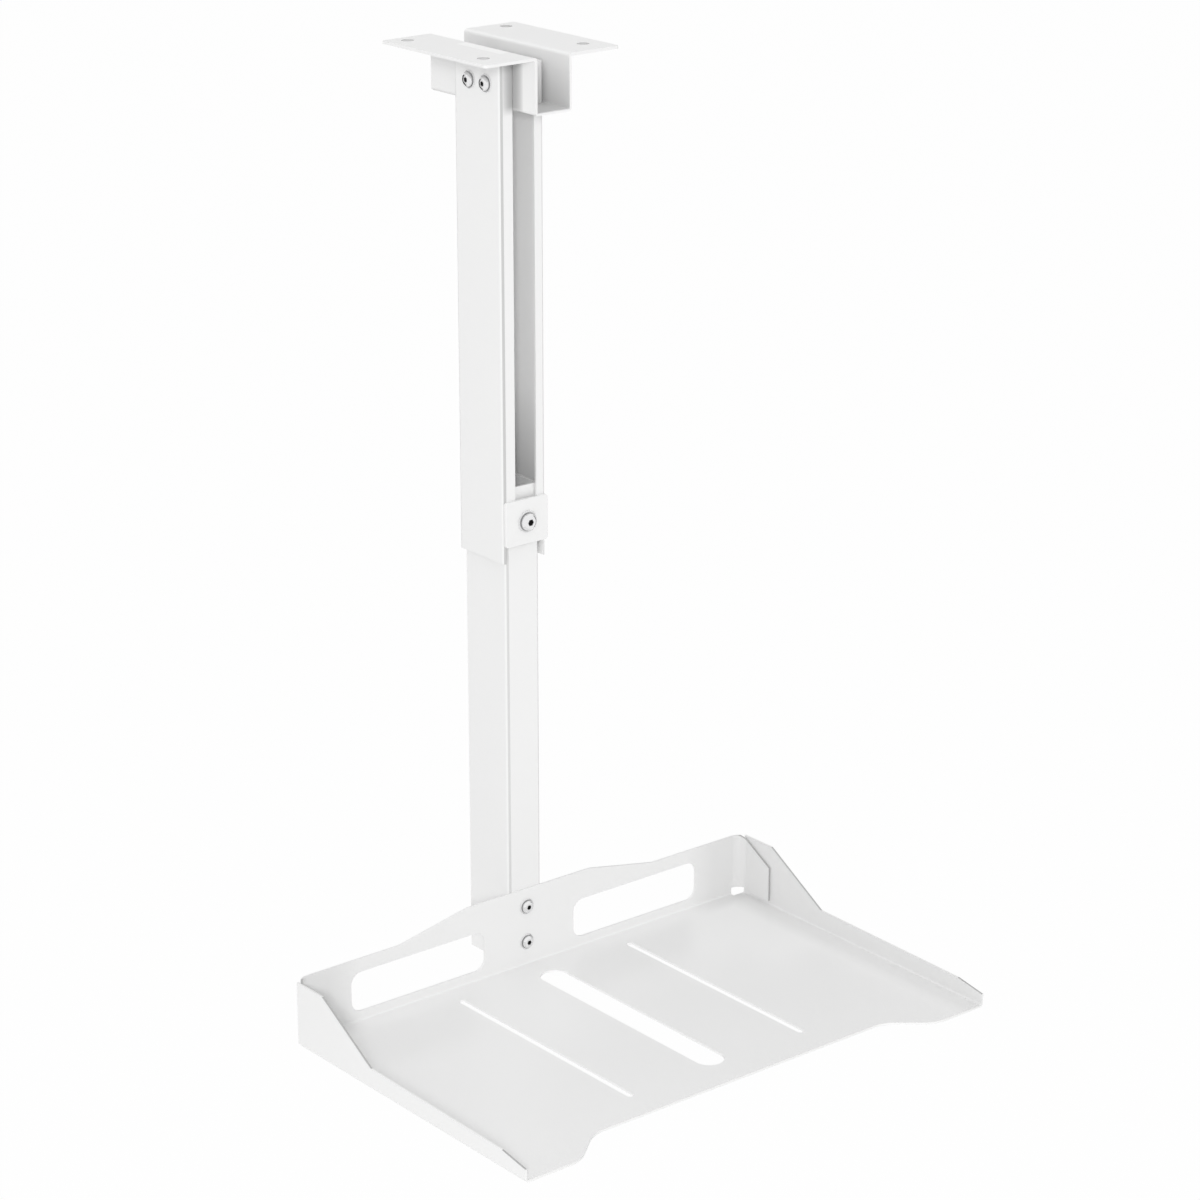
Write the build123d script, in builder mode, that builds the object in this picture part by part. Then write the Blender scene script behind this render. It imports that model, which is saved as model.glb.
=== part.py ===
"""Telescopic ceiling mount: hat-section ceiling bracket, two nested channel poles with a clamp
screw, and an open tray folded from one sheet.

The origin is the middle of the four ceiling holes, on the ceiling plane. +Z is up, -Y is the open
front of the tray, and the poles are drawn at their full extension.
"""
import os

from build123d import *

os.makedirs("parts", exist_ok=True)

# Driving dimensions, in millimetres

# Ceiling bracket, folded to a hat section
bracket_sheet = 2.0
bracket_bend = 0.5            # inner bend radius
bracket_length = 112.5
channel_width = 30.0          # over the two walls
channel_depth = 38.0          # ceiling to the underside of the channel
flange_width = 40.1           # from a wall's outer face to the flange's edge
flange_corner = 2.5
ceiling_pitch_x = 82.0
ceiling_pitch_y = 82.0
ceiling_hole = 8.5
ceiling_hole_margin = 10.0    # from the rear holes to the bracket's rear edge
front_overhang = 24.0         # bracket's front end ahead of the pole

# Outer pole, a lipped channel that is open to the front
pole_sheet = 2.0
pole_bend = 0.5               # inner bend radius
pole_width = 35.8
pole_depth = 49.5
pole_length = 339.0
pole_top_gap = 8.0            # ceiling to the top of the pole
lip_left = 10.0
lip_right = 7.8
wall_seat_gap = 0.3           # left lip to the bracket's left wall
pole_pass_gap = 1.0           # bracket's cut-out and pole's notch round each other

# Inner pole, a channel that is open to the back
inner_sheet = 2.0
inner_bend = 0.5              # inner bend radius
inner_length = 351.0
inner_overlap = 52.0          # length held in the outer pole at full extension
slide_gap_side = 1.75
slide_gap_front = 0.7
slide_gap_back = 0.3

# Clamp on the outer pole's lips
clamp_thickness = 2.5
clamp_height = 32.0
clamp_foot = 12.0             # from the outer pole's foot to the clamp plate
clamp_corner = 2.0
clamp_tip_gap = 0.3           # from the screw's tip to the inner pole

# Tray, folded from one sheet
tray_sheet = 1.5
tray_bend = 1.5               # inner bend radius
tray_width = 400.5
tray_depth = 252.2
tray_shift = 2.5              # tray's middle to the right of the pole's
tray_below_pole = 4.0         # from the inner pole's foot to the tray's underside
back_height = 47.6            # back wall at its ends
hump_rise = 11.5
hump_top = 109.0
hump_foot = 226.0
hump_round = 14.0
back_hole_length = 114.0
back_hole_height = 29.0
back_hole_corner = 8.5
back_hole_offset = 96.7       # from the tray's middle
back_hole_level = 23.1        # above the tray's underside
side_height = 47.0            # side wall at its rear end
side_start = 4.5              # side wall's rear edge behind which the corner is open
side_flat_end = 34.0          # distances from the tray's back face
side_low_start = 88.0
side_low_end = 228.3
side_low_rear = 15.5          # heights above the tray's underside
side_low_front = 13.7
side_tip = 9.6
side_round = 3.0
tab_bend = 8.0                # inner bend radius between the back wall and a corner tab
tab_length = 33.5             # corner tab, from the tray's back face
tab_slope_start = 3.0         # where its top begins to fall, from the same face
tab_tip_top = 30.5
tab_foot = 4.5                # underside of tray to the tab's lower edge
tab_gap = 0.3                 # corner tab to the side wall
relief_top = 6.4              # open corner under the tab's bend
horn_width = 45.0             # front corners of the floor
notch_depth = 22.9            # floor's front edge set back between them
notch_run = 28.0
notch_round = 25.0
floor_slot_rear = 20.0        # from the tray's back face
floor_slot_front = 23.8       # from the floor's front edge
wide_slot = 21.0
narrow_slot = 5.0
narrow_slot_offset = 75.0

# Fasteners: thread, head, washer and nut sizes
bracket_thread = 6.0
bracket_head = 12.2
bracket_head_height = 3.4
bracket_key = 3.0
bracket_washer_diameter = 12.0
bracket_washer_thickness = 1.6
bracket_nut_flats = 10.0
bracket_nut_height = 5.0
bracket_sleeve_diameter = 11.0
bracket_bolt_setback = 14.8   # first bolt behind the pole's front face
bracket_bolt_pitch = 17.7
bracket_bolt_drop = 20.8      # below the ceiling
clamp_thread = 8.0
clamp_head = 15.4
clamp_head_height = 4.4
clamp_key = 4.0
tray_thread = 5.0
tray_head = 11.5
tray_head_height = 3.2
tray_key = 3.0
tray_washer_diameter = 10.0
tray_washer_thickness = 1.0
tray_nut_flats = 8.0
tray_nut_height = 4.7
tray_screw_level = 18.8       # lower screw above the tray's underside
tray_screw_pitch = 27.0
bolt_tail = 1.5               # thread showing past a nut
hole_clearance = 0.6          # added to a thread's diameter for its holes
thread_clearance = 0.2        # added to a thread's diameter for a tapped hole
head_rim_share = 0.25         # flange's thickness, of a head's height
head_dome_share = 0.8         # dome's foot, of a head's diameter
head_crown_share = 0.45       # dome's flat crown, of a head's diameter
socket_share = 0.65           # depth of the hexagon socket, of a head's height

# Places that follow from them
bracket_back_y = ceiling_pitch_y / 2 + ceiling_hole_margin
bracket_front_y = bracket_back_y - bracket_length
wall_outer_x = channel_width / 2
wall_inner_x = wall_outer_x - bracket_sheet
flange_edge_x = wall_outer_x + flange_width

pole_left_x = -wall_outer_x - wall_seat_gap - lip_left
pole_right_x = pole_left_x + pole_width
pole_x = (pole_left_x + pole_right_x) / 2
pole_front_y = bracket_front_y + front_overhang
pole_back_y = pole_front_y + pole_depth
pole_top_z = -pole_top_gap
pole_foot_z = pole_top_z - pole_length

inner_left_x = pole_left_x + pole_sheet + slide_gap_side
inner_right_x = pole_right_x - pole_sheet - slide_gap_side
inner_front_y = pole_front_y + pole_sheet + slide_gap_front
inner_back_y = pole_back_y - pole_sheet - slide_gap_back
inner_top_z = pole_foot_z + inner_overlap
inner_foot_z = inner_top_z - inner_length

clamp_low_z = pole_foot_z + clamp_foot
clamp_front_y = pole_front_y - clamp_thickness
clamp_screw_z = clamp_low_z + clamp_height / 2

tray_x = pole_x + tray_shift
tray_back_y = inner_front_y
tray_low_z = inner_foot_z - tray_below_pole
tray_bend_outer = tray_bend + tray_sheet
tray_half = tray_width / 2
tab_bend_outer = tab_bend + tray_sheet
tab_outer_x = tray_half - tray_sheet - tab_gap
tab_fall = (back_height - tab_tip_top) / (tab_length - tab_slope_start)
tab_bend_top = back_height - tab_fall * (tab_bend_outer - tab_slope_start)

bolt_names = ("front", "rear")
bolt_ys = [pole_front_y + bracket_bolt_setback + i * bracket_bolt_pitch for i in range(len(bolt_names))]
bolt_z = -bracket_bolt_drop
tray_screw_names = ("lower", "upper")
tray_screw_zs = [tray_low_z + tray_screw_level + i * tray_screw_pitch for i in range(len(tray_screw_names))]


def screw_seat(x, y, z, outward):
    """Plane under a screw's head, with its normal pointing out through the head."""
    return Plane(origin=(x, y, z), x_dir=(0, 0, 1), z_dir=outward)


def button_screw(seat, thread, head, head_height, key, shank):
    """Flanged button-head screw: a turned profile with a hexagon socket sunk in its crown."""
    rim = head_height * head_rim_share
    dome = head * head_dome_share / 2
    crown = head * head_crown_share / 2
    profile = Plane(origin=seat.origin, x_dir=seat.x_dir, z_dir=-seat.y_dir)
    with BuildPart() as screw:
        with BuildSketch(profile):
            with BuildLine():
                Polyline((0, -shank), (thread / 2, -shank), (thread / 2, 0), (head / 2, 0), (head / 2, rim),
                         (dome, rim), (crown, head_height), (0, head_height), close=True)
            make_face()
        revolve(axis=Axis(seat.origin, seat.z_dir))
        with BuildSketch(seat.offset(head_height)):
            RegularPolygon(radius=key / 2, side_count=6, major_radius=False)
        extrude(amount=-head_height * socket_share, mode=Mode.SUBTRACT)
    return screw


def ring(seat, diameter, bore, height):
    """Washer or sleeve that stands on its seat."""
    with BuildPart() as washer:
        with BuildSketch(seat):
            Circle(diameter / 2)
            Circle(bore / 2, mode=Mode.SUBTRACT)
        extrude(amount=height)
    return washer


def hex_nut(seat, flats, bore, height):
    """Hexagon nut that stands on its seat."""
    with BuildPart() as nut:
        with BuildSketch(seat):
            RegularPolygon(radius=flats / 2, side_count=6, major_radius=False)
            Circle(bore / 2, mode=Mode.SUBTRACT)
        extrude(amount=height)
    return nut


# Ceiling bracket: flange, wall, channel bottom, wall and flange in one folded strip
with BuildPart() as ceiling_bracket:
    sheet_middle = bracket_sheet / 2
    wall_middle_x = wall_outer_x - sheet_middle
    with BuildSketch(Plane.XZ.offset(-bracket_back_y)):
        with BuildLine():
            FilletPolyline(
                (-flange_edge_x, -sheet_middle),
                (-wall_middle_x, -sheet_middle),
                (-wall_middle_x, sheet_middle - channel_depth),
                (wall_middle_x, sheet_middle - channel_depth),
                (wall_middle_x, -sheet_middle),
                (flange_edge_x, -sheet_middle),
                radius=bracket_bend + sheet_middle,
            )
        trace(line_width=bracket_sheet)
    extrude(amount=bracket_length)
    corner_edges = ceiling_bracket.edges().filter_by(Axis.Z).group_by(Axis.X)
    fillet(corner_edges[0] + corner_edges[-1], radius=flange_corner)
    # Ceiling screw holes
    with BuildSketch(Plane.XY):
        with GridLocations(ceiling_pitch_x, ceiling_pitch_y, 2, 2):
            Circle(ceiling_hole / 2)
    extrude(amount=-bracket_sheet, mode=Mode.SUBTRACT)
    # Bolt holes in the left wall
    with BuildSketch(Plane.YZ.offset(-wall_outer_x)):
        with Locations(*[(y, bolt_z) for y in bolt_ys]):
            Circle((bracket_thread + hole_clearance) / 2)
    extrude(amount=bracket_sheet, mode=Mode.SUBTRACT)
    # Opening in the channel's bottom, where the pole's right half rises into the channel
    with BuildSketch(Plane.XY.offset(-channel_depth)):
        with Locations(((pole_right_x + pole_pass_gap - wall_inner_x) / 2, (pole_front_y + pole_back_y) / 2)):
            Rectangle(pole_right_x + pole_pass_gap + wall_inner_x, pole_depth + 2 * pole_pass_gap)
    extrude(amount=bracket_sheet + bracket_bend, mode=Mode.SUBTRACT)
ceiling_bracket.part.label = "ceiling_bracket"
export_step(ceiling_bracket.part, "parts/ceiling_bracket.step")

# Outer pole: the lips stop at the clamp plate, and the back is notched for the bracket's left wall
with BuildPart() as outer_pole:
    sheet_middle = pole_sheet / 2
    with BuildSketch(Plane.XY.offset(pole_foot_z)):
        with BuildLine():
            FilletPolyline(
                (pole_left_x + lip_left, pole_front_y + sheet_middle),
                (pole_left_x + sheet_middle, pole_front_y + sheet_middle),
                (pole_left_x + sheet_middle, pole_back_y - sheet_middle),
                (pole_right_x - sheet_middle, pole_back_y - sheet_middle),
                (pole_right_x - sheet_middle, pole_front_y + sheet_middle),
                (pole_right_x - lip_right, pole_front_y + sheet_middle),
                radius=pole_bend + sheet_middle,
            )
        trace(line_width=pole_sheet)
    extrude(amount=pole_length)
    # Lips cut away below the clamp plate
    with BuildSketch(Plane.XY.offset(pole_foot_z)):
        with Locations((pole_x, pole_front_y)):
            Rectangle(pole_width - 2 * pole_sheet, 2 * (pole_bend + pole_sheet))
    extrude(amount=clamp_foot, mode=Mode.SUBTRACT)
    # Notch in the back, open at the top
    notch_low_z = -channel_depth - pole_pass_gap
    with BuildSketch(Plane.XZ.offset(-pole_back_y)):
        with Locations(((-wall_outer_x - wall_inner_x) / 2, (pole_top_z + notch_low_z) / 2)):
            Rectangle(bracket_sheet + 2 * wall_seat_gap, pole_top_z - notch_low_z)
    extrude(amount=pole_sheet, mode=Mode.SUBTRACT)
    # Bolt holes in the left side
    with BuildSketch(Plane.YZ.offset(pole_left_x)):
        with Locations(*[(y, bolt_z) for y in bolt_ys]):
            Circle((bracket_thread + hole_clearance) / 2)
    extrude(amount=pole_sheet, mode=Mode.SUBTRACT)
outer_pole.part.label = "outer_pole"
export_step(outer_pole.part, "parts/outer_pole.step")

# Bracket bolts: pole's left side, sleeve, bracket's left wall, washer and nut in line
bolt_sleeve_length = -wall_outer_x - (pole_left_x + pole_sheet)
bolt_washer_x = -wall_inner_x
bolt_nut_x = bolt_washer_x + bracket_washer_thickness
bolt_length = bolt_nut_x + bracket_nut_height + bolt_tail - pole_left_x
for end, y in zip(bolt_names, bolt_ys):
    bolt = button_screw(screw_seat(pole_left_x, y, bolt_z, (-1, 0, 0)), bracket_thread, bracket_head,
                        bracket_head_height, bracket_key, bolt_length)
    bolt.part.label = f"bracket_bolt_{end}"
    export_step(bolt.part, f"parts/bracket_bolt_{end}.step")

    sleeve = ring(screw_seat(pole_left_x + pole_sheet, y, bolt_z, (1, 0, 0)), bracket_sleeve_diameter,
                  bracket_thread + hole_clearance, bolt_sleeve_length)
    sleeve.part.label = f"bracket_sleeve_{end}"
    export_step(sleeve.part, f"parts/bracket_sleeve_{end}.step")

    washer = ring(screw_seat(bolt_washer_x, y, bolt_z, (1, 0, 0)), bracket_washer_diameter,
                  bracket_thread + hole_clearance, bracket_washer_thickness)
    washer.part.label = f"bracket_washer_{end}"
    export_step(washer.part, f"parts/bracket_washer_{end}.step")

    nut = hex_nut(screw_seat(bolt_nut_x, y, bolt_z, (1, 0, 0)), bracket_nut_flats,
                  bracket_thread + thread_clearance, bracket_nut_height)
    nut.part.label = f"bracket_nut_{end}"
    export_step(nut.part, f"parts/bracket_nut_{end}.step")

# Clamp plate across the lips, tapped for the clamp screw
with BuildPart() as clamp_plate:
    with BuildSketch(Plane.XZ.offset(-pole_front_y)):
        with Locations((pole_x, clamp_screw_z)):
            RectangleRounded(pole_width, clamp_height, clamp_corner)
            Circle((clamp_thread + thread_clearance) / 2, mode=Mode.SUBTRACT)
    extrude(amount=clamp_thickness)
clamp_plate.part.label = "clamp_plate"
export_step(clamp_plate.part, "parts/clamp_plate.step")

# Clamp screw, whose tip bears on the inner pole
clamp_screw_length = inner_front_y - clamp_tip_gap - clamp_front_y
clamp_seat = screw_seat(pole_x, clamp_front_y, clamp_screw_z, (0, -1, 0))
clamp_screw = button_screw(clamp_seat, clamp_thread, clamp_head, clamp_head_height, clamp_key,
                           clamp_screw_length)
clamp_screw.part.label = "clamp_screw"
export_step(clamp_screw.part, "parts/clamp_screw.step")

# Inner pole
with BuildPart() as inner_pole:
    sheet_middle = inner_sheet / 2
    with BuildSketch(Plane.XY.offset(inner_foot_z)):
        with BuildLine():
            FilletPolyline(
                (inner_left_x + sheet_middle, inner_back_y),
                (inner_left_x + sheet_middle, inner_front_y + sheet_middle),
                (inner_right_x - sheet_middle, inner_front_y + sheet_middle),
                (inner_right_x - sheet_middle, inner_back_y),
                radius=inner_bend + sheet_middle,
            )
        trace(line_width=inner_sheet)
    extrude(amount=inner_length)
    with BuildSketch(Plane.XZ.offset(-inner_front_y)):
        with Locations(*[(pole_x, z) for z in tray_screw_zs]):
            Circle((tray_thread + hole_clearance) / 2)
    extrude(amount=-inner_sheet, mode=Mode.SUBTRACT)
inner_pole.part.label = "inner_pole"
export_step(inner_pole.part, "parts/inner_pole.step")

# Tray: the sketches below are drawn about its middle, its back face and its underside
tray_top_view = Plane(origin=(tray_x, tray_back_y, tray_low_z), x_dir=(1, 0, 0), z_dir=(0, 0, 1))
tray_front_view = Plane(origin=(tray_x, tray_back_y, tray_low_z), x_dir=(1, 0, 0), z_dir=(0, -1, 0))
tray_side_view = Plane(origin=(tray_x, tray_back_y, tray_low_z), x_dir=(0, -1, 0), z_dir=(-1, 0, 0))
floor_half = tray_half - tray_bend_outer
panel_half = tab_outer_x - tab_bend_outer
hump_height = back_height + hump_rise
notch_start = tray_half - horn_width
floor_slot_length = tray_depth - notch_depth - floor_slot_front - floor_slot_rear
slot_middle = -floor_slot_rear - floor_slot_length / 2
bend_middle = tray_bend + tray_sheet / 2

with BuildPart() as tray:
    # Left side wall: high at the back, low and slightly tapered towards the front
    with BuildSketch(tray_side_view.offset(tray_half)) as side_wall:
        with BuildLine():
            Polyline(
                (side_start, tray_bend_outer),
                (side_start, side_height),
                (side_flat_end, side_height),
                (side_low_start, side_low_rear),
                (side_low_end, side_low_front),
                (tray_depth, side_tip),
                (tray_depth, tray_bend_outer),
                close=True,
            )
        make_face()
        fillet([v for v in side_wall.vertices() if side_start < v.X < side_low_end], radius=side_round)
    extrude(amount=-tray_sheet)
    # Bend between the floor and the side wall
    with BuildSketch(tray_front_view.offset(side_start)):
        with BuildLine():
            CenterArc((-floor_half, tray_bend_outer), bend_middle, start_angle=180, arc_size=90)
        trace(line_width=tray_sheet)
    extrude(amount=tray_depth - side_start)
    # Corner tab, folded from the back wall to lie inside the side wall
    with BuildSketch(tray_side_view.offset(tab_outer_x)):
        with BuildLine():
            Polyline(
                (tab_bend_outer, relief_top),
                (tab_bend_outer, tab_bend_top),
                (tab_length, tab_tip_top),
                (tab_length, tab_foot),
                (tab_bend_outer + relief_top - tab_foot, tab_foot),
                close=True,
            )
        make_face()
    extrude(amount=-tray_sheet)
    # Bend between the back wall and the tab, whose falling top starts in the bend
    with BuildSketch(tray_top_view.offset(relief_top)):
        with BuildLine():
            CenterArc((-panel_half, -tab_bend_outer), tab_bend + tray_sheet / 2, start_angle=90, arc_size=90)
        trace(line_width=tray_sheet)
    extrude(amount=back_height - relief_top)
    with BuildSketch(tray_side_view.offset(tab_outer_x)):
        with BuildLine():
            Polyline(
                (tab_slope_start, back_height),
                (tab_bend_outer, tab_bend_top),
                (tab_bend_outer, back_height),
                close=True,
            )
        make_face()
    extrude(amount=-tab_bend_outer, mode=Mode.SUBTRACT)
    # The right side is the left one's mirror image
    mirror(about=tray_side_view)

    # Floor, with its front edge set back between two horns, and three long slots
    with BuildSketch(tray_top_view) as floor:
        with BuildLine():
            Polyline(
                (-floor_half, -side_start),
                (-floor_half, -tray_depth),
                (-notch_start, -tray_depth),
                (-notch_start + notch_run, -tray_depth + notch_depth),
                (notch_start - notch_run, -tray_depth + notch_depth),
                (notch_start, -tray_depth),
                (floor_half, -tray_depth),
                (floor_half, -side_start),
                (panel_half, -side_start),
                (panel_half, -tray_bend_outer),
                (-panel_half, -tray_bend_outer),
                (-panel_half, -side_start),
                close=True,
            )
        make_face()
        notch_corners = [v for v in floor.vertices() if v.Y < -side_start and abs(v.X) < floor_half]
        fillet(notch_corners, radius=notch_round)
        with Locations((0, slot_middle)):
            SlotOverall(floor_slot_length, wide_slot, rotation=90, mode=Mode.SUBTRACT)
        with Locations((-narrow_slot_offset, slot_middle), (narrow_slot_offset, slot_middle)):
            SlotOverall(floor_slot_length, narrow_slot, rotation=90, mode=Mode.SUBTRACT)
    extrude(amount=tray_sheet)
    # Bend between the floor and the back wall
    with BuildSketch(tray_side_view.offset(panel_half)):
        with BuildLine():
            CenterArc((tray_bend_outer, tray_bend_outer), bend_middle, start_angle=180, arc_size=90)
        trace(line_width=tray_sheet)
    extrude(amount=-2 * panel_half)
    # Back wall, humped in front of the pole's foot, with two long holes and the screw holes
    with BuildSketch(tray_front_view) as back_wall:
        with BuildLine():
            Polyline(
                (-panel_half, tray_bend_outer),
                (-panel_half, back_height),
                (-hump_foot / 2, back_height),
                (-hump_top / 2, hump_height),
                (hump_top / 2, hump_height),
                (hump_foot / 2, back_height),
                (panel_half, back_height),
                (panel_half, tray_bend_outer),
                close=True,
            )
        make_face()
        hump_corners = [v for v in back_wall.vertices() if abs(v.X) < hump_foot / 2 + tray_sheet]
        fillet(hump_corners, radius=hump_round)
        with Locations((-back_hole_offset, back_hole_level), (back_hole_offset, back_hole_level)):
            RectangleRounded(back_hole_length, back_hole_height, back_hole_corner, mode=Mode.SUBTRACT)
        with Locations(*[(pole_x - tray_x, z - tray_low_z) for z in tray_screw_zs]):
            Circle((tray_thread + hole_clearance) / 2, mode=Mode.SUBTRACT)
    extrude(amount=tray_sheet)
tray.part.label = "tray"
export_step(tray.part, "parts/tray.step")

# Tray screws: tray's back wall, inner pole's front, washer and nut in line
tray_washer_y = inner_front_y + inner_sheet
tray_nut_y = tray_washer_y + tray_washer_thickness
tray_head_y = tray_back_y - tray_sheet
tray_screw_length = tray_nut_y + tray_nut_height + bolt_tail - tray_head_y
for level, z in zip(tray_screw_names, tray_screw_zs):
    screw = button_screw(screw_seat(pole_x, tray_head_y, z, (0, -1, 0)), tray_thread, tray_head,
                         tray_head_height, tray_key, tray_screw_length)
    screw.part.label = f"tray_screw_{level}"
    export_step(screw.part, f"parts/tray_screw_{level}.step")

    washer = ring(screw_seat(pole_x, tray_washer_y, z, (0, 1, 0)), tray_washer_diameter,
                  tray_thread + hole_clearance, tray_washer_thickness)
    washer.part.label = f"tray_washer_{level}"
    export_step(washer.part, f"parts/tray_washer_{level}.step")

    nut = hex_nut(screw_seat(pole_x, tray_nut_y, z, (0, 1, 0)), tray_nut_flats,
                  tray_thread + thread_clearance, tray_nut_height)
    nut.part.label = f"tray_nut_{level}"
    export_step(nut.part, f"parts/tray_nut_{level}.step")
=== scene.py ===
"""Looks of a telescopic ceiling mount: white powder-coated sheets and bright plated fasteners.

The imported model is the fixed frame. The five sheets are shown as copies of their solids with softened
edges, and the fasteners as turned and threaded pieces that stand where their solids are.
"""
import math

import bmesh
import bpy
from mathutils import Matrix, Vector


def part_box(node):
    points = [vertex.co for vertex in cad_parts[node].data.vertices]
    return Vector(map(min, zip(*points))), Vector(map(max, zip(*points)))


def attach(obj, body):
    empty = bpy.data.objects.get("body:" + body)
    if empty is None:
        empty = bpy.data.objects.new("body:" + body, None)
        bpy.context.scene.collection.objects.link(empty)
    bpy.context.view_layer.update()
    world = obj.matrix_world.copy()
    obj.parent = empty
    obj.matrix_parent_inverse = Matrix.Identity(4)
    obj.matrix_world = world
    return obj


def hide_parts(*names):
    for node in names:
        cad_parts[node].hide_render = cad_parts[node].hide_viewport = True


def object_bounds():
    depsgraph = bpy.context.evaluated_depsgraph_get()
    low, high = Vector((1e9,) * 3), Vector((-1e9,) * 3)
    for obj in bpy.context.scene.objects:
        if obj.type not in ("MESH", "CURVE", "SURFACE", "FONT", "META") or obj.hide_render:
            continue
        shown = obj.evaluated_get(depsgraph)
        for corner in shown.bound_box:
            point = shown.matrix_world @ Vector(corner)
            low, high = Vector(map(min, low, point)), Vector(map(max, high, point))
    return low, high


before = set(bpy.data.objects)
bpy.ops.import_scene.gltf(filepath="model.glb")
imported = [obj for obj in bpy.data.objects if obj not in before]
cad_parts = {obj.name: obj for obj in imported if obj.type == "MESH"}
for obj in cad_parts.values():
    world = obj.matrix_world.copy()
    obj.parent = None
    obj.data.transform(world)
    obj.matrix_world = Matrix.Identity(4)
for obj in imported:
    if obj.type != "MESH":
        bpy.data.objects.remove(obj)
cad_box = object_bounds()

bl_info = {
    "name": "Telescopic Ceiling Mount",
    "version": (1, 0, 0),
    "blender": (4, 5, 0),
    "location": "View3D > Sidebar > Ceiling Mount",
    "description": "Dresses the packed ceiling mount in powder coat and bright plating, and lights it",
    "category": "Object",
}

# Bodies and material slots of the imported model
HANGER = "hanger"
CLAMP = "clamp"
DROP = "drop"

# Sheets
TRAY_SHEET = 0.0015             # thickness of the tray's sheet
INNER_FACE = 0.75               # share of a sheet's thickness past which a point is on its inner face
MERGE_GAP = 1e-6                # corners of a solid nearer than this are one
FLAT_ANGLE = math.radians(0.2)  # faces of a solid that turn less than this are one
CUT_ANGLE = math.radians(40.0)  # edges of a sheet that turn more than this are rounded
NO_LEAN = 0.05                  # a part of a face's normal that is smaller than this counts as none
SQUARE_ON = 0.99                # and one that is larger than this as the whole
SLOPE_RISE = 0.2                # least upward part of the normal on a sloping cut
SIDE_MARGIN = 3 * TRAY_SHEET    # most distance of those cuts from the tray's side
HOLE_LEAN = 0.1                 # most upward part of the normal on the wall of a ceiling hole
HOLE_MARGIN = 2 * TRAY_SHEET    # least distance of a ceiling hole from a flange's edges, and its most depth
HOLE_SHADE = 0.7                 # how dark the painted shade is on the wall of a ceiling hole
FLANGE_SHARE = 0.45             # a flange's width, as a share of half the bracket's
BEND_LEFT = (0.1, 0.8)          # leftward part of the normal on the front half of a bend
BEND_FRONT = 0.5                # least forward part of the normal there

# Powder coat
SEAM_FADE = 3.0        # sheets over which the seam's painted shade ends at the bracket's foot
CHANNEL_TOP = 0.12     # share of the channel's painted shade that is left at its top
DRIFT_SCALE = 14.0     # patches of drifting tone in a metre
SPECKS_A_DIMPLE = 5.0  # specks across one dimple of the orange peel
SPECK_RISE = 0.2       # height of the specks, as a share of the peel's
SPECK_ROUGH = 0.08     # roughness that the specks add
DRIFT_ROUGH = 0.06     # range of the roughness that drifts with the tone

# Bright plate
GRAIN_TONES = (0.9, 1.06)  # tone between the grains and on them
GRAIN_ROUGH = 0.16         # range of the roughness that the grain gives
SOCKET_ROUGH = 0.25        # roughness that a socket adds
SOCKET_DULL = 0.6          # share of the metal's look that is lost where shade is painted on the plate
MARK_RISE = 0.5            # height of the turning marks, as a share of the grain's

# Turned pieces, in shares of the thread, the key or the flats that they belong to
RING = 48                             # vertices round a turned piece
SHARP_ANGLE = math.radians(32.0)      # edges of a turned piece that turn more than this stay sharp
THREAD_CREST = 0.15                   # half of the flat crest, as a share of the pitch
SCREW_POINT = 0.38                    # radius of the screw's end
SCREW_LEAD = 0.12                     # length from the end to the thread
SCREW_RUNOUT = 0.1                    # plain length below the head
DOME_STEPS = 7                        # steps from the flange up to the crown
DOME_SHADE = {-1: 0.5, 0: 0.75, 1: 0.4}  # painted shade on the rings about the dome's foot
SOCKET_MOUTH = 1.1                    # width of the socket's broken edge
SOCKET_LEAD = 0.06                    # depth of that edge
NUT_FACE = 0.48                       # radius at which the nut's corners are turned off
NUT_ANGLE = math.radians(30.0)        # slope of the turned corners
NUT_STEPS = (0.0, 0.35, 0.7, 1.0)     # rings on that slope
NUT_LEAD = 0.08                       # depth of the lead into the nut's thread

# Stage
WHITE = (1.0, 1.0, 1.0, 1.0)
BLACK = (0.0, 0.0, 0.0, 1.0)
LEFT_REAR = Vector((-1.0, 1.0, 0.0)).normalized()
FLOOR_REACH = 14.0
FLOOR_COLOUR = (0.95, 0.95, 0.95, 1.0)
FLOOR_WHITE = 0.96  # share of plain white in the floor that the camera sees
SCREEN_RADIUS = 1.6
SCREEN_LEVELS = (-1.2, 0.5)
SCREEN_TURNS = (math.radians(80.0), math.radians(213.0))
SCREEN_STEPS = 24
SENSOR_WIDTH = 36.0


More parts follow.
